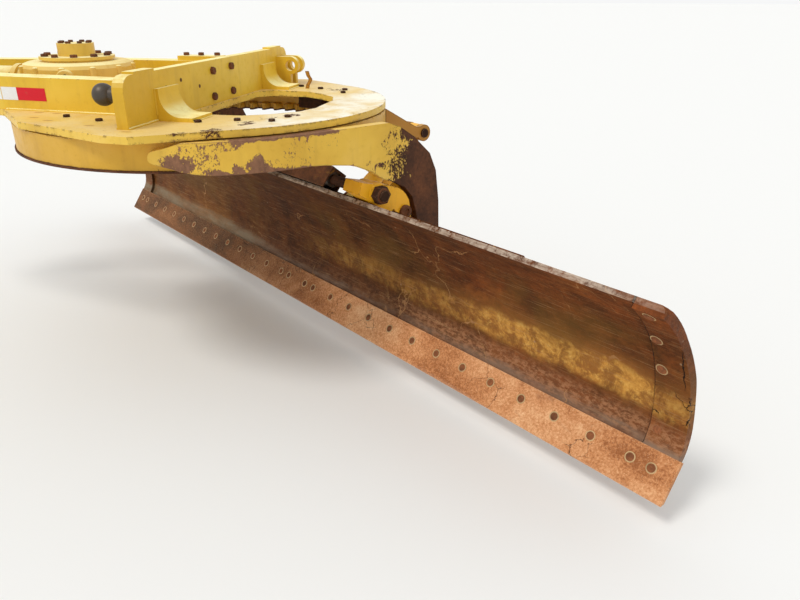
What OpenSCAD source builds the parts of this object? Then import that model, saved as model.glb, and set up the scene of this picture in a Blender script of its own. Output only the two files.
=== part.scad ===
// Motor grader blade group: drawbar, toothed circle, tip frame and curved moldboard.
// Millimetres, +X forward, +Y left, +Z up. The origin is the centre of the drawbar's front ball.
// Blade parts are drawn in the circle's own frame: X away from the blade's face, Y along the blade.

/* [Drawbar] */
// distance from the front ball to the circle's centre
ball_to_circle = 2050; // [1700:10:2400]
// how far the plate's top lies below the ball's centre
plate_drop = 51; // [20:1:90]
// thickness of the drawbar plate
plate_thick = 25; // [16:1:40]
// radius of the plate's round rear edge
plate_radius = 766; // [760:1:800]
// half width of the plate at its outer corners
plate_half_width = 843; // [780:1:900]
// height of the box beams above the plate
beam_height = 125; // [100:1:150]
// width of each box beam
beam_width = 100; // [80:1:120]
// outer half width of the beams at the lift plate
beam_spread = 469; // [430:1:520]
// outer half width of the beams at the nose
nose_spread = 165; // [120:1:260]
// thickness of the transverse lift plate
lift_thick = 42; // [30:1:60]
// half length of the transverse lift plate
lift_half = 732; // [700:1:780]
// height of the transverse lift plate
lift_height = 172; // [130:1:230]
// radius of the front ball
ball_radius = 55; // [35:1:75]
// radius of the lift ball studs
lift_ball_radius = 38; // [25:1:50]
// bore radius of the centre shift eye
shift_eye_radius = 25; // [15:1:35]

/* [Circle] */
// turn of the circle in the photograph, from a square blade
turn = 53; // [0:1:90]
// outer radius of the circle
circle_radius = 765; // [740:1:790]
// underside of the circle below the plate's top
circle_depth = 139; // [120:1:160]
// number of internal teeth, a multiple of four
circle_teeth = 64; // [60:4:68]
// number of pinion teeth
pinion_teeth = 10; // [9:1:12]
// thickness of the circle's arms
arm_thick = 40; // [25:1:50]
// width of the arms' level bars
arm_depth = 115; // [100:1:135]

/* [Blade] */
// overall length of the moldboard and its edges
blade_length = 4267; // [3600:1:4900]
// shift of the blade's middle along its length
blade_offset = 14; // [-60:1:60]
// thickness of the moldboard plate
moldboard_thick = 19; // [16:1:25]
// radius of the moldboard's main curve
curve_radius = 570; // [450:1:650]
// angle of the moldboard's main curve
curve_angle = 53.5; // [45:0.5:60]
// radius of the tighter curve near the edge
toe_radius = 172.5; // [120:0.5:220]
// lean of the cutting edge from upright
edge_lean = 34.8; // [20:0.1:45]
// width of the cutting edge
edge_width = 152; // [120:1:203]
// thickness of the cutting edge and the end plates
edge_thick = 16; // [12:1:25]
// length of the end wear plates
end_plate = 135; // [80:1:200]
// centre of the main curve, away from the blade's face
curve_x = -99.3; // [-140:0.1:-60]
// centre of the main curve, height from the plate's top
curve_z = -806.3; // [-860:0.1:-760]

/* [Tip frame] */
// tip pivot, away from the blade's face
pivot_x = 665; // [640:1:690]
// tip pivot height from the plate's top
pivot_z = -801; // [-830:1:-780]
// radius of the tip pivot pins
pin_radius = 25; // [18:1:32]
// gap between the circle's arms and the tip brackets
bracket_gap = 10; // [6:0.5:30]
// thickness of the tip brackets
bracket_thick = 60; // [40:1:80]
// how far the upper castings stand out past the brackets
casting_out = 45; // [20:1:75]
// upper pin of the tip cylinder, away from the face
ram_x = 827; // [800:1:860]
// upper pin of the tip cylinder, height from the plate's top
ram_z = -170; // [-190:1:-150]
// position of the tip cylinder along the blade
ram_y = -420; // [-460:1:-380]
// radius of the tip cylinder's barrel
ram_radius = 38; // [30:1:45]
// radius of the tip cylinder's rod
ram_rod_radius = 20; // [14:1:26]
// radius of the side shift barrel
shift_radius = 34; // [30:1:38]
// radius of the side shift rod
shift_rod_radius = 22; // [16:1:26]

/* [Hidden] */
pitch_radius = circle_radius - 93;
gear_module = 2 * pitch_radius / circle_teeth;
tooth_width = gear_module * 4 / 3;
tooth_tip = gear_module * 6 / 7;
pinion_pitch = gear_module * pinion_teeth / 2;
pinion_x = pitch_radius - pinion_pitch;
gear_top = -106;
arm_in = circle_radius / cos(1.4643);
arm_out = arm_in + arm_thick;
bracket_half = arm_in - bracket_gap;
casting_half = bracket_half + casting_out;
housing_x = pinion_x + 38;
rail_half = blade_length / 2 - 633.5;
rail_low = 6;
rail_high = 39.5;
rail_foot = curve_radius + moldboard_thick;
eye_x = 460;
eye_z = -441;
ram_angle = atan2(eye_z - ram_z, eye_x - ram_x);
ram_length = sqrt(pow(eye_z - ram_z, 2) + pow(eye_x - ram_x, 2));
ram_body = 405;
ram_reach = 380;
side_r = curve_radius + 70;
side_x = curve_x + side_r * cos(52);
side_z = curve_z + side_r * sin(52);
side_start = -500;
side_end = 760;
blade_start = blade_offset - blade_length / 2;
toe_x = curve_x + curve_radius - toe_radius;
nose_x = ball_to_circle - 90;

// frames
module bar() {
  translate([-ball_to_circle, 0, -plate_drop]) children();
}
module blade() {
  bar() rotate([0, 0, 180 + turn]) children();
}
// a profile in X and Z, carried along Y from y0 to y1
module along(y0, y1) {
  translate([0, y1, 0]) rotate([90, 0, 0]) linear_extrude(y1 - y0) children();
}
// a round bar along Y
module rod_y(x, z, r, y0, y1) {
  translate([x, y0, z]) rotate([-90, 0, 0]) cylinder(r = r, h = y1 - y0, $fn = 48);
}
module both() {
  children();
  mirror([0, 1, 0]) children();
}
// the tip cylinder's frame: origin at its upper pin, X down its axis
module ram() {
  blade() translate([ram_x, ram_y, ram_z]) rotate([0, -ram_angle, 0]) children();
}

// drawbar
function rear_arc() = [for (i = [0 : 26]) let (a = 128 + i * 4)
  [plate_radius * cos(a), plate_radius * sin(a)]];
function opening_half() = [[-94, 300], [-150, 366], [-320, 360], [-410, 302], [-495, 215], [-527, 110]];
module plate_outline() {
  w = plate_half_width;
  polygon(concat(rear_arc(), [[-147, -w], [-41, -w + 6], [400, -672], [655, -440], [800, -390],
    [880, -300], [880, 300], [800, 390], [655, 440], [400, 672], [-41, w - 6], [-147, w]]));
}
module drawbar_plate() {
  h = opening_half();
  color("gold") bar() difference() {
    translate([0, 0, -plate_thick]) linear_extrude(plate_thick) plate_outline();
    translate([0, 0, -plate_thick - 1]) linear_extrude(plate_thick + 2)
      polygon(concat(h, [for (i = [5 : -1 : 0]) [h[i][0], -h[i][1]]]));
    translate([pinion_x, 0, -plate_thick - 1]) cylinder(r = 60, h = plate_thick + 2, $fn = 64);
  }
}
module beam_outline() {
  y = beam_spread - 35;
  polygon([[-40, beam_spread], [-40, beam_spread - beam_width], [650, y - beam_width],
    [nose_x - 120, nose_spread - 0.76 * beam_width], [nose_x - 120, nose_spread], [650, y]]);
}
module beams() {
  color("gold") bar() both() {
    linear_extrude(beam_height) beam_outline();
    translate([0, 0, -plate_thick]) linear_extrude(plate_thick) intersection() {
      beam_outline();
      translate([880, 0]) square([2000, 600]);
    }
  }
}
module nose() {
  x = nose_x - 120;
  color("gold") bar() translate([0, 0, -plate_thick]) linear_extrude(beam_height + plate_thick)
    polygon([[x, nose_spread], [x, -nose_spread], [nose_x - 40, -105], [nose_x, -80], [nose_x, 80],
      [nose_x - 40, 105]]);
}
// end view of the curved sheet between the lift plate and the drawbar plate
module curl_outline() {
  difference() {
    union() {
      polygon([[0, 0], [0, 112], [-14, 112], [-14, 90], [-90, 14], [-135, 14], [-135, 0]]);
      translate([-14, 14]) mirror([1, 0]) square([76, 76]);
    }
    translate([-90, 90]) circle(r = 76, $fn = 64);
  }
}
module lift_plate() {
  w = lift_half - 52;
  h = lift_height - 52;
  color("gold") bar() {
    translate([-40 - lift_thick, 0, 0]) rotate([90, 0, 90]) linear_extrude(lift_thick)
      polygon(concat([[-lift_half, 0], [lift_half, 0]], arc(w, h, 52, 0, 90, 5), arc(-w, h, 52, 90, 180, 5)));
    both() translate([-40 - lift_thick, 545, 0]) rotate([90, 0, 0]) linear_extrude(150) curl_outline();
    both() translate([-40 - lift_thick, 530, lift_height]) cube([lift_thick, 130, 8]);
  }
}
module front_ball() {
  color("dimgray") {
    sphere(r = ball_radius, $fn = 48);
    translate([-90, 0, 0]) rotate([0, 90, 0]) cylinder(r = 36, h = 60, $fn = 48);
  }
}
module lift_studs() {
  color("dimgray") bar() both() translate([-40, 0.92 * lift_half, 105]) {
    rotate([0, 90, 0]) cylinder(r = 24, h = 62, $fn = 48);
    translate([72, 0, 0]) sphere(r = lift_ball_radius, $fn = 48);
  }
}
module centre_shift_eye() {
  color("gold") bar() for (y = [40, 110]) translate([-40 - lift_thick, y - lift_half, 0]) difference() {
    union() {
      translate([-72, 0, 0]) cube([72, 30, 134]);
      translate([-72, 30, 92]) rotate([90, 0, 0]) cylinder(r = 42, h = 30, $fn = 48);
    }
    translate([-72, 31, 92]) rotate([90, 0, 0]) cylinder(r = shift_eye_radius, h = 32, $fn = 48);
  }
}

// circle drive
module drive_housing() {
  color("gold") bar() difference() {
    translate([housing_x, 0, 0]) union() {
      cylinder(r = 230, h = 128, $fn = 72);
      translate([0, 0, 128]) cylinder(r1 = 230, r2 = 222, h = 14, $fn = 72);
      translate([0, 0, 142]) cylinder(r1 = 222, r2 = 200, h = 8, $fn = 72);
    }
    translate([pinion_x, 0, -1]) cylinder(r = 45.1, h = 61, $fn = 64);
  }
}
module drive_cap() {
  color("gold") bar() translate([housing_x, 0, 150]) union() {
    cylinder(r = 145, h = 20, $fn = 64);
    translate([0, 0, 8]) cylinder(r = 155, h = 12, $fn = 64);
    cylinder(r = 76, h = 72, $fn = 64);
  }
}
module drive_motor() {
  color("gold") bar() translate([housing_x + 200, 0, 60]) rotate([0, 90, 0]) difference() {
    union() {
      cylinder(r = 58, h = 240, $fn = 48);
      translate([0, 0, 90]) cylinder(r = 70, h = 24, $fn = 48);
    }
    translate([60, 0, -200]) rotate([0, -90, 0]) cylinder(r = 230, h = 300, $fn = 72);
  }
}
module guide_shoes() {
  color("peru") bar() for (a = [-131, -77, -33, 15, 59, 113])
    rotate([0, 0, a]) rotate_extrude(angle = 18, $fn = 90)
      polygon([[circle_radius - 205, -plate_thick], [circle_radius - 136, -plate_thick],
        [circle_radius - 136, -66.1], [circle_radius - 85, -66.1], [circle_radius - 85, -96],
        [circle_radius - 205, -96]]);
}

// gear teeth: four points a tooth, at the root and the tip
function gear_points(n, pitch, tip, root, shift, wide) = [for (i = [0 : n - 1]) for (k = [0 : 3])
  let (r = (k == 0 || k == 3) ? root : tip)
  let (w = wide / 2 - abs(r - pitch) * tan(20) * ((k == 0 || k == 3) ? -1 : 1))
  let (a = (i + shift) * 360 / n + ((k < 2) ? -1 : 1) * w / r * 180 / PI)
  [r * cos(a), r * sin(a)]];
module pinion() {
  color("dimgray") bar() translate([pinion_x, 0, -circle_depth + 3]) union() {
    linear_extrude(circle_depth + gear_top - 6)
      polygon(gear_points(pinion_teeth, pinion_pitch, pinion_pitch + tooth_tip - 3,
        pinion_pitch - tooth_tip - 6, 0, tooth_width - 3));
    cylinder(r = 45, h = circle_depth + 52, $fn = 64);
  }
}
module circle_ring() {
  color("sienna") bar() union() {
    rotate_extrude($fn = 120) polygon([[circle_radius - 133, -32], [circle_radius, -32],
      [circle_radius, -circle_depth + 6], [circle_radius + 6, -circle_depth + 6],
      [circle_radius + 6, -circle_depth], [circle_radius - 63, -circle_depth],
      [circle_radius - 63, -66], [circle_radius - 133, -66]]);
    translate([0, 0, -circle_depth]) linear_extrude(circle_depth + gear_top) difference() {
      circle(r = circle_radius - 55, $fn = 120);
      polygon(gear_points(circle_teeth, pitch_radius, pitch_radius - tooth_tip, pitch_radius + 25, 0.5,
        tooth_width));
    }
  }
}

// circle arms
function arc(cx, cz, r, a0, a1, n) = [for (i = [0 : n]) let (a = a0 + (a1 - a0) * i / n)
  [cx + r * cos(a), cz + r * sin(a)]];
module leg_outline() {
  difference() {
    union() {
      polygon([[200, -66 - arm_depth], [200, -31], [345, -31], [402, -50], [478, -98], [564, -175],
        [600, -251], [619, -383], [624, -508], [pivot_x + 20, pivot_z + 170], [pivot_x + 70, pivot_z + 16],
        [pivot_x, pivot_z], [pivot_x - 71, pivot_z + 10], [578, -700], [525, -560], [505, -470],
        [490, -400], [470, -340], [430, -295], [380, -268], [320, -246], [261, -207]]);
      translate([pivot_x, pivot_z]) circle(r = 72, $fn = 48);
    }
    translate([pivot_x, pivot_z]) circle(r = pin_radius, $fn = 48);
  }
}
// the level bar from above: its nose follows the circle
module bar_outline() {
  k = arm_out / arm_in;
  n = [for (i = [0 : 14]) [arm_in * cos(-90 - i * 41 / 14), arm_in * sin(-90 - i * 41 / 14)]];
  polygon(concat([[230, -arm_in]], n, [for (i = [14 : -1 : 0]) n[i] * k], [[230, -arm_out]]));
}
module arm() {
  d = -31 - arm_depth;
  difference() {
    union() {
      intersection() {
        translate([0, 0, -220]) linear_extrude(189) bar_outline();
        rotate([0, 0, -36]) along(-900, -300) polygon([[-67, -86], [-66, -72], [-60, -62], [-50, -56],
          [-21, -50], [13, -41], [46, -31], [800, -31], [800, -220], [669, d - 51], [635, d - 34],
          [601, d - 22], [548, d - 12], [510, d - 5], [465, d], [423, d], [300, d + 1], [193, d + 2],
          [129, d + 4], [81, d + 10], [34, d + 20], [3, -114], [-35, -104], [-52, -98], [-62, -93]]);
      }
      along(-arm_out, -arm_in) leg_outline();
    }
    translate([0, 0, -circle_depth - 60]) cylinder(r = circle_radius + 7, h = 67, $fn = 120);
  }
}
module arm_near() {
  color("sienna") blade() arm();
}
module arm_far() {
  color("sienna") blade() mirror([0, 1, 0]) arm();
}
module ram_ears() {
  color("sienna") blade() difference() {
    for (y = [ram_y - 60, ram_y + 35]) along(y, y + 25) difference() {
      union() {
        polygon([[circle_radius - 175, -34], [ram_x - 49, ram_z + 33], [ram_x, ram_z + 30], [ram_x, ram_z],
          [ram_x - 38, ram_z - 20], [circle_radius - 165, -120]]);
        translate([ram_x, ram_z]) circle(r = 38, $fn = 48);
      }
      translate([ram_x, ram_z]) circle(r = 20, $fn = 48);
    }
    translate([0, 0, -400]) cylinder(r = circle_radius + 0.2, h = 500, $fn = 120);
    translate([0, 0, -circle_depth - 10]) cylinder(r = circle_radius + 7, h = 17, $fn = 120);
  }
}
module tip_pins() {
  color("dimgray") blade() {
    both() rod_y(pivot_x, pivot_z, pin_radius, -arm_out, -bracket_half + bracket_thick);
    both() rod_y(pivot_x, pivot_z, pin_radius + 16, -arm_out - 14, -arm_out);
    rod_y(ram_x, ram_z, 20, ram_y - 68, ram_y + 68);
  }
}

// tip frame
module rail(a, grow) {
  translate([curve_x, curve_z]) rotate(a) {
    translate([rail_foot - 8 - grow, -10 - grow]) square([36 + 2 * grow, 20 + 2 * grow]);
    translate([rail_foot + 26 - grow, -24 - grow]) square([18 + 2 * grow, 48 + 2 * grow]);
  }
}
module claw(a) {
  translate([curve_x, curve_z]) rotate(a) translate([rail_foot + 12, -48]) square([75, 96]);
}
// the upper casting around the high rail, which also holds the side shift rod on the near side
module casting(tower) {
  p = tower ? [[216.7, -244.6], [265.4, -256.7]] : [];
  q = arc(curve_x, curve_z, rail_foot + 8, 29.5, tower ? 60 : 46.2, tower ? 9 : 5);
  difference() {
    polygon(concat(q, p, [[tower ? 365.8 : 392, tower ? -281.1 : -293.7], [402, -296], [425, -311],
      [445, -333], [457.1, -355.2], [466.3, -410], [474, -480]]));
    rail(rail_high, 5);
    if (tower) translate([side_x, side_z]) circle(r = shift_rod_radius, $fn = 48);
  }
}
module bracket_outline(tower) {
  difference() {
    union() {
      difference() {
        translate([curve_x, curve_z]) circle(r = rail_foot + 155, $fn = 120);
        translate([curve_x, curve_z]) circle(r = rail_foot + 73, $fn = 120);
        translate([curve_x, curve_z]) rotate(-3) translate([-900, -900]) square([1800, 900]);
        translate([curve_x, curve_z]) rotate(46) translate([-900, 0]) square([1800, 900]);
        translate([curve_x - 900, curve_z - 900]) square([900, 1800]);
      }
      claw(rail_low);
      casting(tower);
      translate([pivot_x, pivot_z]) circle(r = 70, $fn = 48);
    }
    rail(rail_low, 5);
    rail(rail_high, 5);
    translate([pivot_x, pivot_z]) circle(r = pin_radius + 0.08, $fn = 48);
    if (tower) translate([side_x, side_z]) circle(r = shift_rod_radius, $fn = 48);
  }
}
module bracket_near() {
  color("gold") blade() {
    along(-bracket_half, -bracket_half + bracket_thick) bracket_outline(true);
    along(-casting_half, -bracket_half) casting(true);
  }
}
module bracket_far() {
  color("gold") blade() {
    along(bracket_half - bracket_thick, bracket_half) bracket_outline(false);
    along(bracket_half, casting_half) casting(false);
  }
}
module cross_tube() {
  y = bracket_half - bracket_thick;
  a = 18;
  r = rail_foot + 107;
  x = curve_x + r * cos(a);
  z = curve_z + r * sin(a);
  color("sienna") blade() {
    rod_y(x, z, 45, -y, y);
    for (k = [ram_y - 50, ram_y + 32]) along(k, k + 18) difference() {
      union() {
        polygon([[x - 38, z - 24], [x + 24, z + 38], [eye_x + 24, eye_z + 26], [eye_x - 24, eye_z - 26]]);
        translate([eye_x, eye_z]) circle(r = 35, $fn = 48);
      }
      translate([eye_x, eye_z]) circle(r = 14, $fn = 48);
    }
    rod_y(eye_x, eye_z, 14, ram_y - 58, ram_y + 58);
  }
}
module side_shift_rod() {
  color("silver") blade() {
    rod_y(side_x, side_z, shift_rod_radius, -casting_half - 44, side_end - 560);
    translate([side_x, -casting_half, side_z]) rotate([90, 0, 0]) cylinder(r = 38, h = 34, $fn = 6);
  }
}

// moldboard
function face(g, n) = concat(arc(curve_x, curve_z, curve_radius + g, curve_angle, 0, n),
  arc(toe_x, curve_z, toe_radius + g, -edge_lean / 5, -edge_lean, 4));
function toe(g) = [toe_x + (toe_radius + g) * cos(edge_lean), curve_z - (toe_radius + g) * sin(edge_lean)];
function down(p, d) = [p[0] - d * sin(edge_lean), p[1] - d * cos(edge_lean)];
function back(p) = [for (i = [len(p) - 1 : -1 : 0]) p[i]];
// what wear has taken off both ends of the moldboard, as a profile in Y and Z
module end_wear() {
  for (s = [0, 1]) translate([0, blade_offset, 0]) mirror([0, s, 0]) translate([-300, -blade_length / 2, 0])
    rotate([90, 0, 90]) linear_extrude(1200) polygon([[-10, -1030], [12, -1030], [12, -890], [15, -806],
      [19.5, -700], [21, -620], [27, -549], [34, -472], [36, -400], [39, -356], [47, -342], [60, -332],
      [85, -322], [-10, -322]]);
}
module moldboard() {
  f = face(0, 16);
  b = face(moldboard_thick, 16);
  color("saddlebrown") blade() {
    difference() {
      along(blade_start + 2, blade_start + blade_length - 2)
        polygon(concat(f, [down(toe(0), 88), down(toe(moldboard_thick), 88)], back(b)));
      end_wear();
    }
    along(blade_offset - rail_half, blade_offset + rail_half) union() {
      rail(rail_low, 0);
      rail(rail_high, 0);
    }
  }
}
module edge(y0, y1) {
  p = toe(-0.1);
  q = toe(-edge_thick);
  color("peru") blade() along(y0, y1)
    polygon([p, q, down(q, edge_width), down(p, edge_width - 12)]);
}
module edge_near() {
  edge(blade_start, blade_start + blade_length / 2 - 1);
}
module edge_far() {
  edge(blade_start + blade_length / 2 + 1, blade_start + blade_length);
}
module end_cover(y0) {
  f = face(0, 16);
  g = face(-edge_thick, 16);
  color("peru") blade() difference() {
    along(y0, y0 + end_plate) polygon(concat(f, back(g)));
    end_wear();
  }
}
module end_plate_near() {
  end_cover(blade_start + 2);
}
module end_plate_far() {
  end_cover(blade_start + blade_length - 2 - end_plate);
}
module side_shift_barrel() {
  color("dimgray") blade() difference() {
    rod_y(side_x, side_z, shift_radius, side_start, side_end);
    rod_y(side_x, side_z, shift_rod_radius + 4, side_start + 50, side_end - 20);
    rod_y(side_x, side_z, shift_rod_radius + 0.08, side_start - 1, side_start + 51);
  }
}
module side_shift_cover() {
  color("sienna") blade() along(side_start - 8, side_end - 40) difference() {
    translate([curve_x, curve_z]) rotate(52) translate([rail_foot - 10, -42]) square([105, 84]);
    translate([curve_x, curve_z]) circle(r = rail_foot, $fn = 200);
    translate([side_x, side_z]) circle(r = shift_radius, $fn = 48);
    translate([curve_x, curve_z]) rotate(52) translate([rail_foot - 11, -36]) square([64, 72]);
  }
}

// tip cylinder
module ram_barrel() {
  color("gold") ram() difference() {
    union() {
      rotate([90, 0, 0]) translate([0, 0, -29]) cylinder(r = 36, h = 58, $fn = 48);
      translate([20, 0, 0]) rotate([0, 90, 0]) cylinder(r = ram_radius, h = ram_body - 20, $fn = 48);
      translate([ram_body - 40, 0, 0]) rotate([0, 90, 0]) cylinder(r = ram_radius + 5, h = 40, $fn = 48);
    }
    rotate([90, 0, 0]) translate([0, 0, -30]) cylinder(r = 20.08, h = 60, $fn = 48);
    translate([60, 0, 0]) rotate([0, 90, 0]) cylinder(r = ram_radius - 8, h = ram_body - 100, $fn = 48);
    translate([60, 0, 0]) rotate([0, 90, 0]) cylinder(r = ram_rod_radius + 0.08, h = ram_body, $fn = 48);
  }
}
module ram_rod() {
  color("silver") ram() difference() {
    union() {
      translate([ram_length - ram_reach, 0, 0]) rotate([0, 90, 0])
        cylinder(r = ram_rod_radius, h = ram_reach - 32, $fn = 48);
      translate([ram_length, 24, 0]) rotate([90, 0, 0]) cylinder(r = 40, h = 48, $fn = 48);
    }
    translate([ram_length, 25, 0]) rotate([90, 0, 0]) cylinder(r = 28, h = 50, $fn = 48);
  }
}

drawbar_plate();
beams();
nose();
lift_plate();
front_ball();
lift_studs();
centre_shift_eye();
drive_housing();
drive_cap();
drive_motor();
guide_shoes();
pinion();
circle_ring();
arm_near();
arm_far();
ram_ears();
tip_pins();
bracket_near();
bracket_far();
cross_tube();
side_shift_rod();
moldboard();
edge_near();
edge_far();
end_plate_near();
end_plate_far();
side_shift_barrel();
side_shift_cover();
ram_barrel();
ram_rod();
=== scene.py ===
"""Looks of the motor grader blade assembly.

Metres, +X forward, +Y left, +Z up, origin at the drawbar's front ball. Points of the small parts are given to
D(), B() and their like in millimetres. Marks and wear follow each piece's own coordinates, so they hold at
every pose.
"""

import math
import random

import bmesh
import bpy
from mathutils import Matrix, Vector


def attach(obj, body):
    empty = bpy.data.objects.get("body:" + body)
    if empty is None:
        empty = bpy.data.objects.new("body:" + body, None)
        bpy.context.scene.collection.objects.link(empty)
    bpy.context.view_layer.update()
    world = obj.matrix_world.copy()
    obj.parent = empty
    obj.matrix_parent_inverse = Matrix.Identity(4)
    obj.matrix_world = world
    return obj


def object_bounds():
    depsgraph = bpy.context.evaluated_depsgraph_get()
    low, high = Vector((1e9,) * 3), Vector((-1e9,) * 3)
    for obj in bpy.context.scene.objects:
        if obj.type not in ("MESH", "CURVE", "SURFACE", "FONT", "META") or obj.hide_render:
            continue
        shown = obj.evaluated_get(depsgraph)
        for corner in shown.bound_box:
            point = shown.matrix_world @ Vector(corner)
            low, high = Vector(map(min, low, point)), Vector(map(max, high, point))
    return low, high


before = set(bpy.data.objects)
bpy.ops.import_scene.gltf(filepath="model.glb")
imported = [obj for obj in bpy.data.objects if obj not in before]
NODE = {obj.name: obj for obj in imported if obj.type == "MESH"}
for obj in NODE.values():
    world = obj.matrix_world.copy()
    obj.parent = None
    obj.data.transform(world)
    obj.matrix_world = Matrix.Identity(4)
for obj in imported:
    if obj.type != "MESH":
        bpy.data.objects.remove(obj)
CAD_LO, CAD_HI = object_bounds()
random.seed(7)
bpy.context.scene.view_settings.view_transform = "Standard"

EX, EY, EZ = Vector((1, 0, 0)), Vector((0, 1, 0)), Vector((0, 0, 1))
MM = 0.001

# the circle's centre on the drawbar plate's top
C0 = Vector((-2.05, 0.0, -0.051))
# the blade's own axes: UX away from its face, UY along it from the near end to the far end
TURN = math.radians(233)
UX = Vector((math.cos(TURN), math.sin(TURN), 0))
UY = Vector((-math.sin(TURN), math.cos(TURN), 0))
# the moldboard's face, seen along the blade: main curve, tighter toe curve, lean of the straight lower part
CURVE_X, CURVE_Z, CURVE_R = -0.0993, -0.8063, 0.570
TOE_R, LEAN = 0.1725, math.radians(34.8)
TOE_X = CURVE_X + CURVE_R - TOE_R
BLADE_MID, BLADE_LEN = 0.014, 4.267
BLADE_START = BLADE_MID - BLADE_LEN / 2
# millimetres: how far the edges and end plates stand off the face, and how thick the moldboard is behind it
PROUD, THICK = 16, 19

# the camera, fitted to the photograph: lens in mm, place in the blade's frame in mm, and its three angles
LENS, SENSOR = 31.04, 36
EYE = (-1360.3, -2878.6, 419.8)
HEADING, PITCH, ROLL = math.radians(49.58) + TURN, 0.4176, 0.0028

SUN_FROM, SUN_STRENGTH, SUN_SIZE, SUN_COLOR = (0.42, 0.50, 0.95), 1.25, math.radians(16), (1.0, 0.975, 0.93)
# the world's colour and strength as a light, and as the background that is seen and reflected
SKY_LIGHT, SKY_SEEN = ((0.97, 0.985, 1.0, 1), 0.80), ((0.93, 0.935, 0.94, 1), 1.0)
FLOOR_HALF, FLOOR_DROP = 150, 0.10


def D(x, y, z):
    """A point of the drawbar in millimetres from the circle's centre."""
    return C0 + Vector((x, y, z)) * MM


def B(x, y, z):
    """A point of the blade's frame in millimetres."""
    return C0 + (UX * x + UY * y + EZ * z) * MM


def link_object(name, data):
    o = bpy.data.objects.new(name, data)
    bpy.context.scene.collection.objects.link(o)
    return o


# ---------------------------------------------------------------- camera and light
def camera():
    data = bpy.data.cameras.new("camera")
    data.sensor_width = SENSOR
    data.lens = LENS
    data.clip_start, data.clip_end = 0.05, 600
    o = link_object("camera", data)
    along, across = math.cos(HEADING), math.sin(HEADING)
    ahead = Vector((math.cos(PITCH) * along, math.cos(PITCH) * across, -math.sin(PITCH)))
    level = Vector((across, -along, 0))
    above = level.cross(ahead)
    right = math.cos(ROLL) * level + math.sin(ROLL) * above
    up = -math.sin(ROLL) * level + math.cos(ROLL) * above
    m = Matrix((right, up, -ahead)).transposed().to_4x4()
    m.translation = B(*EYE)
    o.matrix_world = m
    bpy.context.scene.camera = o


def light():
    """A soft white world, paler where it is seen, and one large sun."""
    world = bpy.data.worlds.new("studio")
    bpy.context.scene.world = world
    world.use_nodes = True
    tree = world.node_tree
    tree.nodes.clear()

    def either(a, b):
        n = tree.nodes.new("ShaderNodeMath")
        n.operation = "MAXIMUM"
        tree.links.new(a, n.inputs[0])
        tree.links.new(b, n.inputs[1])
        return n.outputs[0]

    def sky(color, strength):
        n = tree.nodes.new("ShaderNodeBackground")
        n.inputs["Color"].default_value = color
        n.inputs["Strength"].default_value = strength
        return n.outputs[0]

    ray = tree.nodes.new("ShaderNodeLightPath").outputs
    seen = either(either(ray["Is Camera Ray"], ray["Is Transmission Ray"]), ray["Is Glossy Ray"])
    mix = tree.nodes.new("ShaderNodeMixShader")
    for source, socket in zip((seen, sky(*SKY_LIGHT), sky(*SKY_SEEN)), mix.inputs):
        tree.links.new(source, socket)
    tree.links.new(mix.outputs[0], tree.nodes.new("ShaderNodeOutputWorld").inputs[0])

    sun = bpy.data.lights.new("key", "SUN")
    sun.energy, sun.angle, sun.color = SUN_STRENGTH, SUN_SIZE, SUN_COLOR
    o = link_object("key", sun)
    o.rotation_mode = "QUATERNION"
    o.rotation_quaternion = Vector(SUN_FROM).to_track_quat("Z", "Y")


# ---------------------------------------------------------------- material kit
def rgb(r, g, b):
    """A linear colour from sRGB values of 0 to 255."""
    def lin(c):
        c /= 255
        return c / 12.92 if c <= 0.04045 else ((c + 0.055) / 1.055) ** 2.4

    return (lin(r), lin(g), lin(b), 1.0)


def shade(base, *factors):
    """An sRGB colour of 0 to 255 times one factor, or times one for each channel."""
    return rgb(*(c * f for c, f in zip(base, factors * 3 if len(factors) == 1 else factors)))


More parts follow.
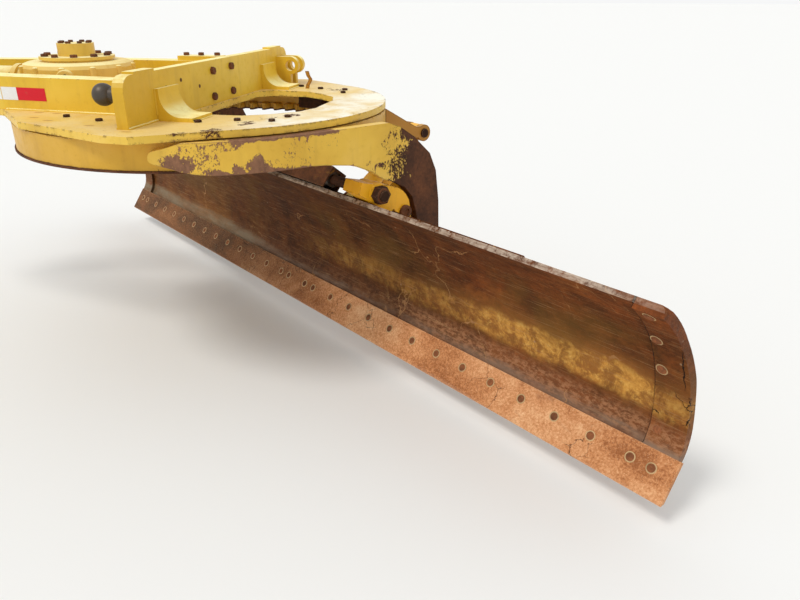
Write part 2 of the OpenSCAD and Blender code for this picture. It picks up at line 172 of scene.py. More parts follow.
class Mat:
    """A principled material with short calls for its nodes. A value is a number, a colour or a socket."""

    def __init__(self, name, seed):
        self.m = bpy.data.materials.new(name)
        self.m.use_nodes = True
        self.t = self.m.node_tree
        self.t.nodes.clear()
        out = self.node("ShaderNodeOutputMaterial")
        self.p = self.node("ShaderNodeBsdfPrincipled")
        self.t.links.new(self.p.outputs[0], out.inputs[0])
        tex = self.node("ShaderNodeTexCoord")
        self.co, self.normal = tex.outputs["Object"], tex.outputs["Normal"]
        self.blade = None
        self.seed = seed
        self.heights = []

    def node(self, kind):
        return self.t.nodes.new(kind)

    def put(self, socket, v):
        if isinstance(v, bpy.types.NodeSocket):
            self.t.links.new(v, socket)
        elif isinstance(v, (int, float)) and socket.type == "RGBA":
            socket.default_value = (v, v, v, 1)
        else:
            socket.default_value = v

    def math(self, op, a, b=0.0, clamp=False):
        n = self.node("ShaderNodeMath")
        n.operation = op
        n.use_clamp = clamp
        self.put(n.inputs[0], a)
        self.put(n.inputs[1], b)
        return n.outputs[0]

    def mul(self, a, b, clamp=False):
        return self.math("MULTIPLY", a, b, clamp)

    def add(self, a, b):
        return self.math("ADD", a, b)

    def sub(self, a, b):
        return self.math("SUBTRACT", a, b)

    def most(self, a, *rest):
        for b in rest:
            a = self.math("MAXIMUM", a, b)
        return a

    def vmath(self, op, a, b):
        n = self.node("ShaderNodeVectorMath")
        n.operation = op
        self.put(n.inputs[0], a)
        self.put(n.inputs["Scale" if op == "SCALE" else 1], b)
        return n.outputs["Value" if op == "DOT_PRODUCT" else "Vector"]

    def step(self, v, lo, hi, out0=0.0, out1=1.0):
        """A smooth step from out0 at lo to out1 at hi."""
        n = self.node("ShaderNodeMapRange")
        n.interpolation_type = "SMOOTHSTEP"
        self.put(n.inputs["Value"], v)
        n.inputs["From Min"].default_value = lo
        n.inputs["From Max"].default_value = hi
        n.inputs["To Min"].default_value = out0
        n.inputs["To Max"].default_value = out1
        return n.outputs[0]

    def between(self, v, lo0, lo1, hi0, hi1):
        """1 from lo1 to hi0, soft down to 0 at lo0 and hi1."""
        return self.mul(self.step(v, lo0, lo1), self.step(v, hi1, hi0))

    def close(self, v, to, outer, inner, strength=1.0):
        """The strength where v is within inner of a value, 0 beyond outer."""
        return self.step(self.math("ABSOLUTE", self.sub(v, to)), outer, inner, 0.0, strength)

    def noise(self, scale, detail=5.0, rough=0.6, warp=0.0, stretch=(1, 1, 1), co=None, shift=0.0):
        n = self.node("ShaderNodeTexNoise")
        n.inputs["Scale"].default_value = scale
        n.inputs["Detail"].default_value = detail
        n.inputs["Roughness"].default_value = rough
        n.inputs["Distortion"].default_value = warp
        m = self.node("ShaderNodeMapping")
        s = self.seed * 3.1 + shift
        m.inputs["Location"].default_value = (s, s * 0.7, -s)
        m.inputs["Scale"].default_value = stretch
        self.t.links.new(co or self.co, m.inputs["Vector"])
        self.t.links.new(m.outputs[0], n.inputs["Vector"])
        return n.outputs[0]

    def along(self, scale, detail, rough, warp=0.0, stretch=(1, 1, 1), shift=0.0):
        """Noise in the blade's frame, so that it can be stretched along the blade."""
        return self.noise(scale, detail, rough, warp, stretch, self.blade_co(), shift)

    def wobble(self, noise, amount):
        """Noise made to swing about zero."""
        return self.mul(self.sub(noise, 0.5), amount)

    def cells(self, scale, co=None, feature="F1"):
        n = self.node("ShaderNodeTexVoronoi")
        n.feature = feature
        n.inputs["Scale"].default_value = scale
        m = self.node("ShaderNodeMapping")
        m.inputs["Location"].default_value = (self.seed, self.seed, self.seed)
        src = co or self.co
        if feature == "DISTANCE_TO_EDGE":
            # bent by noise, so that the cells' borders aren't straight
            w = self.node("ShaderNodeTexNoise")
            w.inputs["Scale"].default_value = scale * 2.5
            w.inputs["Detail"].default_value = 4
            self.t.links.new(src, w.inputs["Vector"])
            bend = self.vmath("SUBTRACT", w.outputs["Color"], (0.5, 0.5, 0.5))
            src = self.vmath("ADD", src, self.vmath("SCALE", bend, 0.55 / scale))
        self.t.links.new(src, m.inputs["Vector"])
        self.t.links.new(m.outputs[0], n.inputs["Vector"])
        return n.outputs["Distance"]

    def ramp(self, fac, *stops):
        n = self.node("ShaderNodeValToRGB")
        while len(n.color_ramp.elements) < len(stops):
            n.color_ramp.elements.new(0.5)
        for e, (p, c) in zip(n.color_ramp.elements, stops):
            e.position = p
            e.color = c
        self.put(n.inputs[0], fac)
        return n.outputs[0]

    def mix(self, fac, a, b, kind="MIX"):
        n = self.node("ShaderNodeMix")
        n.data_type = "RGBA"
        n.blend_type = kind
        self.put(n.inputs[0], fac)
        self.put(n.inputs[6], a)
        self.put(n.inputs[7], b)
        return n.outputs[2]

    def lerp(self, fac, a, b):
        n = self.node("ShaderNodeMix")
        n.data_type = "FLOAT"
        self.put(n.inputs[0], fac)
        self.put(n.inputs[2], a)
        self.put(n.inputs[3], b)
        return n.outputs[0]

    def split(self, v):
        n = self.node("ShaderNodeSeparateXYZ")
        self.t.links.new(v, n.inputs[0])
        return n.outputs

    def blob(self, a, b, patches):
        """Soft patches on two coordinates: (centre a, centre b, radius a, radius b, strength) each."""
        total = None
        for ca, cb, ra, rb, power in patches:
            da = self.mul(self.sub(a, ca), 1 / ra)
            db = self.mul(self.sub(b, cb), 1 / rb)
            one = self.step(self.add(self.mul(da, da), self.mul(db, db)), 1.0, 0.25, 0.0, power)
            total = one if total is None else self.most(total, one)
        return total

    def cracks(self, scale, width, co):
        """Thin jagged lines."""
        return self.step(self.cells(scale, co, "DISTANCE_TO_EDGE"), width, width * 0.3)

    def blade_co(self):
        """The surface point in the blade's frame, from the circle's centre: X away from the face, Y along."""
        if self.blade is None:
            n = self.node("ShaderNodeVectorRotate")
            n.rotation_type = "Z_AXIS"
            n.inputs["Angle"].default_value = -TURN
            self.t.links.new(self.circle_co(), n.inputs["Vector"])
            self.blade = n.outputs[0]
        return self.blade

    def circle_co(self):
        """The surface point from the circle's centre."""
        return self.vmath("SUBTRACT", self.co, tuple(C0))

    def edges(self, radius):
        """1 on sharp outer edges of the shape."""
        n = self.node("ShaderNodeBevel")
        n.samples = 3
        n.inputs["Radius"].default_value = radius
        g = self.node("ShaderNodeNewGeometry")
        return self.step(self.vmath("DOT_PRODUCT", n.outputs[0], g.outputs["Normal"]), 0.995, 0.80)

    def up(self):
        """How far the surface faces up on its own piece, so that it holds at every pose."""
        return self.split(self.normal)[2]

    def bump(self, height, distance, strength):
        self.heights.append((height, distance, strength))

    def done(self, color, rough, metal=0.0, spec=0.5):
        self.put(self.p.inputs["Base Color"], color)
        self.p.inputs["Specular IOR Level"].default_value = spec
        self.put(self.p.inputs["Roughness"], rough)
        self.put(self.p.inputs["Metallic"], metal)
        last = None
        for height, distance, strength in self.heights:
            b = self.node("ShaderNodeBump")
            b.inputs["Distance"].default_value = distance
            b.inputs["Strength"].default_value = strength
            self.put(b.inputs["Height"], height)
            if last is not None:
                self.t.links.new(last, b.inputs["Normal"])
            last = b.outputs[0]
        if last is not None:
            self.t.links.new(last, self.p.inputs["Normal"])
        return self.m


# ---------------------------------------------------------------- rust and paint
# dark scale, mid brown, lighter brown, orange bloom
RUST_STOPS = ((0.30, (44, 28, 20)), (0.46, (78, 48, 31)), (0.58, (108, 66, 41)), (0.74, (150, 92, 54)))
DIRT_RUN, MUD_SPOT, CHIP_RIM = rgb(150, 108, 48), rgb(186, 150, 92), rgb(120, 84, 44)
PLUG_DIRT, GRIME, STRIPE_GRIME = rgb(176, 128, 58), rgb(64, 48, 34), rgb(150, 128, 92)
PALE_RUST = ((0.35, rgb(116, 82, 64)), (0.65, rgb(158, 114, 84)))
RUBBED_STEEL = rgb(140, 112, 88)


def rust_color(m, dark):
    """Brown rust by three scales of noise, and the noise itself."""
    coarse, mid, grain = m.noise(7.0, 6, 0.65, 0.4), m.noise(60.0, 6, 0.7), m.noise(420.0, 3, 0.6)
    f = m.add(m.mul(coarse, 0.5), m.add(m.mul(mid, 0.34), m.mul(grain, 0.16)))
    return m.ramp(f, *((at, shade(base, dark)) for at, base in RUST_STOPS)), f


def rusted(name, seed, dark, tint=None, amount=0.0):
    """Bare rusty steel, with some of an old tint left."""
    m = Mat(name, seed)
    col, f = rust_color(m, dark)
    if tint:
        keep = m.step(m.noise(8.0, 6, 0.7, 0.8), 0.62 - amount * 0.3, 0.70 - amount * 0.25)
        col = m.mix(m.mul(keep, 0.75), col, rgb(*tint))
    worn = m.mul(m.edges(0.006), m.step(m.noise(50.0, 4, 0.6), 0.35, 0.6))
    col = m.mix(m.mul(worn, 0.55), col, RUBBED_STEEL)
    m.bump(m.noise(150.0, 6, 0.7), 0.0016, 0.5)
    m.bump(f, 0.002, 0.4)
    return m.done(col, m.lerp(worn, 0.80, 0.5), m.mul(worn, 0.5), spec=0.15)


def paint(name, seed, base, chips, top_dust_and_light, cream=(246, 226, 158), edge=0.008, dark=1.0,
          bare=None, fade_and_top_light=None, marks=None, light=None):
    """Yellow machine paint: sun bleached and dusty on top, with painted top light on its upper faces, chipped
    to rust along its edges.

    bare(m) adds to the score of lost paint, faded(m) holds back the fading and the painted top light,
    marks(m, col) paints on top and light(m) says where the bared steel is paler.
    """
    m = Mat(name, seed)
    fine = m.noise(38.0, 5, 0.65)
    col = m.ramp(m.noise(2.3, 4, 0.55), (0.32, shade(base, 0.93, 0.90, 0.82)), (0.5, rgb(*base)),
                 (0.68, shade(base, 1.04, 1.06, 1.35)))
    col = m.mix(m.step(fine, 0.52, 0.75, 0.0, 0.30), col, shade(base, 0.86, 0.80, 0.72))
    # runs of dirt down the sides
    streak = m.step(m.noise(26.0, 5, 0.6, 0.0, (1, 1, 0.12)), 0.50, 0.72, 0.0, 0.13)
    col = m.mix(m.mul(streak, m.step(m.up(), 0.45, 0.15)), col, DIRT_RUN)
    # sun bleached, dusty upper faces, lightened further as painted top light
    top = m.step(m.up(), 0.35, 0.92)
    dust_and_top_light = m.mul(top, m.step(m.noise(5.5, 6, 0.65, 0.6), 0.30, 0.62, 0.25 * top_dust_and_light, 1.1 * top_dust_and_light), clamp=True)
    if fade_and_top_light is not None:
        dust_and_top_light = m.mul(dust_and_top_light, fade_and_top_light(m), clamp=True)
    col = m.mix(dust_and_top_light, col, rgb(*cream))
    col = m.mix(m.mul(top, m.step(m.noise(95.0, 4, 0.7), 0.60, 0.68, 0.0, 0.5 * top_dust_and_light)), col, MUD_SPOT)
    if marks is not None:
        col = marks(m, col)
    # lost paint, where a score of edges and noise passes a limit
    grain, patch = m.noise(40.0, 7, 0.74, 0.3, (1, 1, 0.6)), m.noise(11.0, 5, 0.6, 0.2, shift=4.0)
    score = m.add(m.mul(m.edges(edge), 0.10 + 0.14 * chips), m.add(m.mul(grain, 0.62), m.mul(patch, 0.38)))
    if bare is not None:
        score = m.add(score, bare(m))
    limit = 0.74 - 0.10 * chips
    lost = m.step(score, limit, limit + 0.012)
    kept = m.sub(1.0, lost)
    rim = m.mul(m.step(score, limit - 0.022, limit), kept)
    rust, _ = rust_color(m, dark)
    if light is not None:
        rust = m.mix(light(m), rust, m.ramp(grain, *PALE_RUST))
    col = m.mix(m.mul(rim, 0.45), col, CHIP_RIM)
    col = m.mix(lost, col, rust)
    rough = m.lerp(lost, m.lerp(dust_and_top_light, m.step(fine, 0.3, 0.7, 0.36, 0.50), 0.72), 0.84)
    m.bump(kept, 0.0007, 0.9)
    pitted = m.mul(m.mul(m.noise(140.0, 5, 0.7), lost), 1.6)
    m.bump(m.add(m.mul(m.noise(260.0, 3, 0.6), 0.4), pitted), 0.0012, 0.35)
    return m.done(col, rough, spec=0.3)


# patches of lost paint on the arms, by x and z in the blade's frame: centres, radii and strength
ARM_TORN = (
    (-0.215, -0.132, 0.058, 0.058, 0.25), (-0.276, -0.145, 0.026, 0.046, 0.24),
    (-0.05, -0.034, 0.080, 0.028, 0.22), (-0.445, -0.104, 0.050, 0.044, 0.17),
    (0.425, -0.155, 0.070, 0.046, 0.17), (0.440, -0.080, 0.045, 0.045, 0.22),
    (0.450, -0.215, 0.030, 0.060, 0.20),
)
ARM_CHIPS = (
    (-0.447, -0.096, 0.066, 0.056, 0.19), (-0.405, -0.075, 0.090, 0.052, 0.150),
    (-0.365, -0.095, 0.055, 0.070, 0.125), (-0.310, -0.048, 0.080, 0.022, 0.135),
    (-0.160, -0.128, 0.060, 0.036, 0.135), (-0.060, -0.105, 0.100, 0.060, 0.122),
    (0.090, -0.060, 0.090, 0.040, 0.090), (0.365, -0.110, 0.075, 0.065, 0.130),
    (0.410, -0.200, 0.085, 0.090, 0.145), (0.410, -0.070, 0.085, 0.060, 0.145),
    (0.340, -0.190, 0.060, 0.025, 0.110), (0.215, -0.085, 0.045, 0.050, 0.060),
)
# peeled places on the plate, and the plug welds on its left and mirrored, by x and y from the circle's centre
PLATE_PEELED = (
    (-0.402, 0.512, 0.045, 0.060, 0.20), (-0.436, 0.385, 0.045, 0.060, 0.18),
    (-0.500, 0.315, 0.040, 0.060, 0.19), (-0.350, 0.668, 0.045, 0.060, 0.20),
    (-0.272, 0.750, 0.030, 0.050, 0.16), (-0.42, -0.48, 0.10, 0.14, 0.135),
    (-0.62, -0.34, 0.07, 0.16, 0.10), (-0.715, 0.05, 0.04, 0.24, 0.07),
)
PLUG_WELDS = ((0.404, 0.580), (0.310, 0.625), (0.104, 0.681), (0.466, 0.474), (0.384, 0.479), (-0.091, 0.760))


def arm_bare(m):
    """Paint is gone from the leg, in patches at the bar's edges, and in chips by the nose and the corner."""
    x, _, z = m.split(m.blade_co())
    wob = m.wobble(m.noise(17.0, 6, 0.72, 0.4), 0.13)
    leg = m.most(m.step(m.add(x, wob), 0.452, 0.476, 0.0, 0.7),
                 m.step(m.add(z, wob), -0.250, -0.274, 0.0, 0.7))
    # height above the bar's lower edge, which rises at the nose and falls to the leg
    rise = m.mul(m.most(m.sub(-0.30, x), 0.0), 0.22)
    fall = m.mul(m.most(m.add(x, 0.15), 0.0), 0.075)
    above = m.add(m.sub(m.add(z, 0.146), rise), fall)
    low = m.mul(m.step(above, 0.021, 0.001, 0.0, 0.30), m.step(x, -0.385, -0.345))
    low = m.mul(low, m.step(x, 0.10, -0.08, 0.35, 1.0))
    high = m.mul(m.step(z, -0.050, -0.032, 0.0, 0.28), m.between(x, -0.32, -0.26, 0.06, 0.17))
    # torn outlines: the patches' own coordinates are bent, most of all upward
    shove = m.wobble(m.noise(30.0, 5, 0.7, 0.3, shift=13.0), 0.07)
    tear = m.wobble(m.noise(42.0, 6, 0.7, 0.3, (1, 1, 0.35), shift=3.0), 0.10)
    torn = m.blob(m.add(x, shove), m.add(z, tear), ARM_TORN)
    # small bits of paint still hold inside the chipped places
    chips = m.blob(x, z, ARM_CHIPS)
    crumbs = m.wobble(m.noise(150.0, 5, 0.7, 0.0, (1, 1, 0.7), shift=7.0), 0.80)
    chips = m.add(chips, m.mul(crumbs, m.step(chips, 0.02, 0.10)))
    return m.add(m.most(leg, low, high, torn), chips)


def arm_light(m):
    """The bared steel of the bar is a paler brown than that of the leg."""
    x, _, z = m.split(m.blade_co())
    return m.step(m.add(x, m.mul(z, -0.3)), 0.40, 0.22, 0.0, 0.85)


def ring_bare(m):
    """The lower lip is bare, with chips just above it."""
    z = m.split(m.circle_co())[2]
    return m.add(m.step(z, -0.128, -0.1335, 0.0, 0.30), m.step(z, -0.085, -0.130, 0.0, 0.055))


def plate_fade_and_top_light(m):
    """The plate's upper face is whitened behind the lift plate, by sun fading, dusting and painted top light,
    and stays yellow in front of it.
    """
    x = m.split(m.co)[0]
    return m.step(m.add(x, m.mul(m.noise(2.5, 4, 0.6), 0.25)), C0.x - 0.16, C0.x - 0.52, 0.20, 1.0)


def plate_bare(m):
    """Peeled places behind the lift plate and along the plate's rear and near edges."""
    x, y, _ = m.split(m.circle_co())
    spots = m.blob(x, y, PLATE_PEELED)
    crumbs = m.wobble(m.noise(60.0, 5, 0.7, 0.2, shift=7.0), 0.5)
    return m.add(spots, m.mul(crumbs, m.step(spots, 0.03, 0.10)))


def plate_marks(m, col):
    """Shallow plug welds on the plate's top."""
    x, y, _ = m.split(m.circle_co())
    marks = m.blob(x, m.math("ABSOLUTE", y), [(a, b, 0.026, 0.011, 0.75) for a, b in PLUG_WELDS])
    return m.mix(m.mul(marks, m.step(m.up(), 0.8, 0.95)), col, PLUG_DIRT)


# ---------------------------------------------------------------- blade, steel and stripes
# the moldboard: tints of its rust by place, marks of the soil, the painted band, the scoured foot, fine marks
TINT_NEAR, TINT_MIDDLE, TINT_FAR = rgb(252, 222, 178), rgb(204, 192, 162), rgb(226, 196, 134)
DRAG_DARK, CLOUD_DARK = rgb(72, 46, 31), rgb(74, 46, 28)
DRAG_LIGHT, FINE_LIGHT = rgb(150, 92, 48), rgb(166, 114, 68)
CLOUD_LIGHT, CLOUD_LIGHT_NEAR = rgb(112, 72, 38), rgb(146, 84, 38)
OCHRE = ((0.35, rgb(98, 62, 24)), (0.65, rgb(142, 94, 38)))
BAND_GLOW, BAND_HAZE = rgb(160, 108, 52), rgb(112, 82, 36)
BAND_PAINT = ((0.36, rgb(176, 120, 56)), (0.50, rgb(214, 156, 72)), (0.66, rgb(240, 190, 100)))
SPECKLE, GREY, GREY_FAR = rgb(168, 118, 82), rgb(134, 112, 94), rgb(136, 120, 94)
SCRATCH, SCAR, SPOT, SPOT_FAR = rgb(164, 124, 86), rgb(188, 140, 92), rgb(170, 138, 106), rgb(52, 40, 32)
JOINT_LINE = rgb(30, 20, 15)
BACK_PAINT = ((0.35, rgb(170, 126, 50)), (0.65, rgb(210, 162, 68)))
TOP_STEEL = ((0.35, rgb(140, 116, 98)), (0.65, rgb(210, 194, 176)))
# degrees up the curve: the band, the glow around it, and the top edge
BAND_AT, GLOW_AT, TOP_AT = 6.5, 8.5, 53.30
# metres in from the blade's end: the end plate's inner joint, and the split in the plate
JOINT_AT, SPLIT_AT = 0.1385, 0.036

# the cutting edges: the near end's rust and the far end's rust, darkened as painted shade, then specks,
# stains and worn places
EDGE_NEAR = ((0.40, rgb(150, 90, 50)), (0.47, rgb(192, 128, 80)), (0.53, rgb(216, 156, 108)),
             (0.61, rgb(240, 196, 150)))
EDGE_FAR_SHADED = ((0.40, rgb(68, 46, 28)), (0.47, rgb(100, 66, 38)), (0.54, rgb(130, 84, 48)),
            (0.64, rgb(164, 116, 74)))
EDGE_SPECK, EDGE_STAIN, EDGE_WET = rgb(240, 204, 160), rgb(132, 84, 56), rgb(72, 56, 44)
EDGE_GROUND, EDGE_RUBBED, EDGE_CRACK = rgb(222, 184, 154), rgb(206, 160, 120), rgb(58, 36, 26)


def blade_face():
    """The moldboard: brown rust, a band of yellow paint, a grey band above the edge, a bright top edge."""
    m = Mat("worn_blade", 2.0)
    col, _ = rust_color(m, 1.12)
    blade = m.blade_co()
    x, y, z = m.split(blade)
    dx, dz = m.sub(x, CURVE_X), m.sub(z, CURVE_Z)
    # degrees up the main curve, and metres in from the nearer end
    ang = m.math("DEGREES", m.math("ARCTAN2", dz, dx))
    inset = m.sub(BLADE_LEN / 2, m.math("ABSOLUTE", m.sub(y, BLADE_MID)))

    # the near third is a warm brown, the middle dark, the far third golden
    drift = m.add(y, m.wobble(m.along(1.1, 4, 0.6, 0.4, shift=30.0), 1.2))
    warm, gold = m.step(drift, -0.75, -1.45), m.step(drift, 0.15, 1.0)
    tint = m.mix(gold, m.mix(warm, TINT_MIDDLE, TINT_NEAR), TINT_FAR)
    col = m.mix(1.0, col, tint, "MULTIPLY")

    # marks drawn out along the blade by the soil
    drag = m.along(3.0, 7, 0.68, 0.35, (6.0, 0.8, 6.0))
    fine = m.along(16.0, 6, 0.7, 0.2, (5.0, 0.7, 5.0), 9.0)
    cloud = m.along(5.5, 6, 0.68, 0.5, (1, 0.8, 1), 71.0)
    col = m.mix(m.step(drag, 0.54, 0.72, 0.0, 0.38), col, DRAG_DARK)
    col = m.mix(m.step(cloud, 0.50, 0.66, 0.0, 0.45), col, CLOUD_DARK)
    col = m.mix(m.step(cloud, 0.48, 0.34, 0.0, 0.50), col, m.mix(warm, CLOUD_LIGHT, CLOUD_LIGHT_NEAR))
    col = m.mix(m.step(drag, 0.44, 0.30, 0.0, 0.30), col, DRAG_LIGHT)
    col = m.mix(m.step(fine, 0.55, 0.75, 0.0, 0.35), col, FINE_LIGHT)
    ochre = m.mul(gold, m.step(m.along(2.4, 5, 0.65, 0.5, (1, 0.6, 1), 18.0), 0.36, 0.62, 0.10, 0.75))
    col = m.mix(ochre, col, m.ramp(fine, *OCHRE))

    # olive and yellow paint left in a band, with a glow around it and a haze over it
    wob = m.wobble(m.along(2.2, 6, 0.7, 0.3, shift=3.0), 14.0)
    near = m.mul(m.step(y, -0.9, -1.50, 0.35, 1.0), m.step(y, 0.2, -0.5, 0.0, 1.0))
    near = m.mul(near, m.step(y, -1.98, -1.96, 0.55, 1.0))
    blot = m.step(m.along(13.0, 7, 0.75, 0.5, shift=6.0), 0.40, 0.58, 0.10, 1.0)
    keep = m.mul(m.mul(m.close(ang, m.add(BAND_AT, wob), 7.5, 3.5), near), blot)
    glow = m.mul(m.close(ang, m.add(GLOW_AT, wob), 13.0, 3.0, 0.55), near)
    col = m.mix(glow, col, BAND_GLOW)
    col = m.mix(m.mul(keep, 0.82), col, m.ramp(m.along(30.0, 6, 0.75, 0.2, shift=2.0), *BAND_PAINT))
    haze = m.mul(m.between(ang, 2.0, 16.0, 22.0, 46.0),
                 m.step(m.along(1.6, 5, 0.6, 0.5, shift=12.0), 0.46, 0.66, 0.0, 0.55))
    col = m.mix(haze, col, BAND_HAZE)

    # scoured and speckled below the band
    low = m.mul(m.step(ang, 1.0, -5.0), m.step(y, -0.3, -1.2, 0.25, 1.0))
    speckle = m.step(m.along(46.0, 6, 0.75, 0.2, (1.6, 0.8, 1.6), 16.0), 0.42, 0.60, 0.15, 0.80)
    col = m.mix(m.mul(low, speckle), col, SPECKLE)
    # grey scoured steel above the cutting edge, wider and paler at the far end
    level = m.sub(m.add(z, m.wobble(fine, 0.06)), m.mul(gold, 0.035))
    grey = m.mul(m.step(level, -0.862, -0.902),
                 m.step(m.along(7.0, 6, 0.7, 0.3, (1, 0.35, 1), 15.0), 0.32, 0.60, 0.15, 0.85))
    col = m.mix(grey, col, m.mix(gold, GREY, GREY_FAR))

    # pale scratches and scars, and spots
    hair = m.step(m.along(4.0, 3, 0.5, 0.6, (90.0, 1.2, 90.0), 21.0), 0.62, 0.66, 0.0, 0.5)
    col = m.mix(hair, col, SCRATCH)
    scar = m.mul(m.cracks(3.1, 0.010, blade), m.step(m.along(2.1, 3, 0.5, shift=40.0), 0.53, 0.60, 0.0, 0.6))
    col = m.mix(scar, col, SCAR)
    spot = m.step(m.cells(9.0, blade), 0.055, 0.035, 0.0, 0.6)
    col = m.mix(spot, col, m.mix(gold, SPOT, SPOT_FAR))

    # the end plates' inner joint, a short split in each plate, and fine cracks across it
    thin = m.wobble(m.along(26.0, 5, 0.7, shift=50.0), 0.012)
    wide = m.wobble(m.along(7.0, 6, 0.75, shift=52.0), 0.05)
    joint = m.mul(m.close(m.add(inset, m.mul(thin, 0.5)), JOINT_AT, 0.0045, 0.0025),
                  m.step(m.along(9.0, 4, 0.6, shift=54.0), 0.34, 0.46, 0.45, 0.95))
    split = m.close(m.add(inset, wide), SPLIT_AT, 0.0028, 0.0012)
    split = m.mul(split, m.between(ang, 14.0, 19.0, 30.0, 35.0))
    crack = m.mul(m.cracks(8.5, 0.016, blade), m.step(inset, 0.150, 0.132))
    crack = m.mul(crack, m.between(ang, 1.0, 3.0, 12.0, 14.0))
    line = m.mul(m.most(joint, split, crack), m.step(y, 0.5, -0.5, 0.45, 1.0))
    col = m.mix(line, col, JOINT_LINE)

    # much of the paint still holds on the blade's back
    back = m.step(m.vmath("DOT_PRODUCT", m.normal, tuple(UX)), 0.15, 0.40)
    held = m.add(m.mul(m.along(2.0, 5, 0.6, 0.3, shift=80.0), 0.42),
                 m.mul(m.along(24.0, 7, 0.76, 0.3, (1, 0.6, 1), 81.0), 0.58))
    col = m.mix(m.mul(back, m.step(held, 0.470, 0.482)), col, m.ramp(cloud, *BACK_PAINT))

    # bright top edge
    reach = m.math("SQRT", m.add(m.mul(dx, dx), m.mul(dz, dz)))
    top = m.mul(m.step(ang, TOP_AT, TOP_AT + 0.12), m.step(reach, CURVE_R - 0.0015, CURVE_R - 0.0002))
    top = m.mul(top, m.step(inset, 0.03, 0.30, 0.25, 1.0))
    bright = m.mul(top, m.step(m.noise(30.0, 6, 0.75), 0.34, 0.56, 0.0, 0.85))
    col = m.mix(bright, col, m.ramp(fine, *TOP_STEEL))

    m.bump(m.noise(120.0, 6, 0.7), 0.0014, 0.45)
    m.bump(drag, 0.006, 0.35)
    m.bump(m.sub(1.0, line), 0.003, 0.8)
    rough = m.lerp(grey, m.step(fine, 0.3, 0.7, 0.62, 0.50), 0.42)
    return m.done(col, rough, m.mul(m.most(grey, bright), 0.45), spec=0.08)


def edge_steel():
    """The cutting edges: orange-brown, pitted, speckled, paler at the near end, darker toward the far end as
    painted shade, and paler along the ground edge.
    """
    m = Mat("edge_steel", 5.0)
    blade = m.blade_co()
    _, y, z = m.split(blade)
    cloud = m.along(3.2, 7, 0.7, 0.4, (1, 0.6, 1))
    f = m.add(m.mul(cloud, 0.62), m.mul(m.noise(120.0, 5, 0.75), 0.38))
    drift = m.add(y, m.wobble(m.along(1.3, 4, 0.6, 0.4, shift=30.0), 1.0))
    # the far end's darker rust is painted shade
    col = m.mix(m.step(drift, -0.6, 0.7), m.ramp(f, *EDGE_NEAR), m.ramp(f, *EDGE_FAR_SHADED))
    speck = m.step(m.noise(330.0, 2, 0.5), 0.62, 0.70, 0.0, 0.5)
    col = m.mix(speck, col, EDGE_SPECK)
    stain = m.step(m.along(2.6, 5, 0.65, 0.8, shift=8.0), 0.58, 0.68, 0.0, 0.55)
    col = m.mix(stain, col, EDGE_STAIN)
    # dark wet-looking spots at the far end
    wet = m.mul(m.step(m.along(5.0, 6, 0.7, 0.6, shift=44.0), 0.60, 0.66, 0.0, 0.65), m.step(y, -0.2, 0.6))
    col = m.mix(wet, col, EDGE_WET)
    low = m.step(m.add(z, m.wobble(cloud, 0.05)), -1.012, -1.034)
    col = m.mix(m.mul(low, 0.40), col, EDGE_GROUND)
    col = m.mix(m.mul(m.edges(0.005), 0.6), col, EDGE_RUBBED)
    crack = m.mul(m.cracks(7.0, 0.007, blade), m.step(m.along(3.3, 3, 0.5, shift=61.0), 0.52, 0.57, 0.0, 0.8))
    col = m.mix(crack, col, EDGE_CRACK)
    m.bump(m.step(m.cells(85.0), 0.10, 0.30), 0.0008, 0.4)
    m.bump(m.noise(200.0, 5, 0.7), 0.0012, 0.45)
    m.bump(m.sub(1.0, crack), 0.003, 0.8)
    return m.done(col, m.lerp(low, 0.70, 0.50), m.mul(low, 0.35), spec=0.2)


def steel(name, seed, base, rough, metal, grime):
    """Plain steel under a film of grime."""
    m = Mat(name, seed)
    film = m.step(m.noise(22.0, 6, 0.65, 0.3), 0.48, 0.70, 0.0, grime)
    col = m.mix(film, m.ramp(m.noise(5.0), (0.3, shade(base, 0.88)), (0.7, rgb(*base))), GRIME)
    m.bump(m.noise(180.0, 4, 0.6), 0.0006, 0.35)
    return m.done(col, m.lerp(film, rough, 0.7), m.mul(m.sub(1.0, film), metal))


def stripe_film(name, seed, base):
    """A stuck-on stripe: even colour with fine cells, grime and scuffs."""
    m = Mat(name, seed)
    col = m.mix(m.step(m.cells(230.0), 0.15, 0.45, 0.0, 0.18), rgb(*base), shade(base, 0.72))
    col = m.mix(m.step(m.noise(48.0, 5, 0.7), 0.58, 0.72, 0.0, 0.18), col, STRIPE_GRIME)
    m.bump(m.noise(210.0, 3, 0.5), 0.0003, 0.3)
    return m.done(col, 0.45, spec=0.3)


camera()
light()

YELLOW = paint("yellow_paint", 1.0, (228, 188, 54), chips=0.25, top_dust_and_light=1.1, cream=(255, 242, 172))
PLATE = paint("yellow_plate", 3.0, (232, 192, 76), chips=0.48, top_dust_and_light=1.0, cream=(250, 246, 228), edge=0.016,
              bare=plate_bare, fade_and_top_light=plate_fade_and_top_light, marks=plate_marks)
HOUSING = paint("yellow_housing", 4.0, (228, 190, 84), chips=0.15, top_dust_and_light=0.8, cream=(250, 238, 176))
RING_PAINT = paint("yellow_ring", 6.0, (212, 164, 52), chips=0.50, top_dust_and_light=0.45, edge=0.010, bare=ring_bare)
ARM_PAINT = paint("yellow_arm", 8.0, (230, 186, 68), chips=0.45, top_dust_and_light=0.3, dark=0.98, bare=arm_bare,
                  light=arm_light)
CAST_PAINT = paint("yellow_casting", 9.0, (244, 178, 26), chips=0.55, top_dust_and_light=0.25)
EAR_PAINT = paint("yellow_ear", 10.0, (184, 128, 42), chips=1.1, top_dust_and_light=0.2)
RUST = rusted("rusty_paint", 11.0, 0.92, (150, 108, 42), 0.10)
RUST_DARK = rusted("rust_dark", 12.0, 0.72)
BOLT = rusted("rust_bolt", 13.0, 1.15)
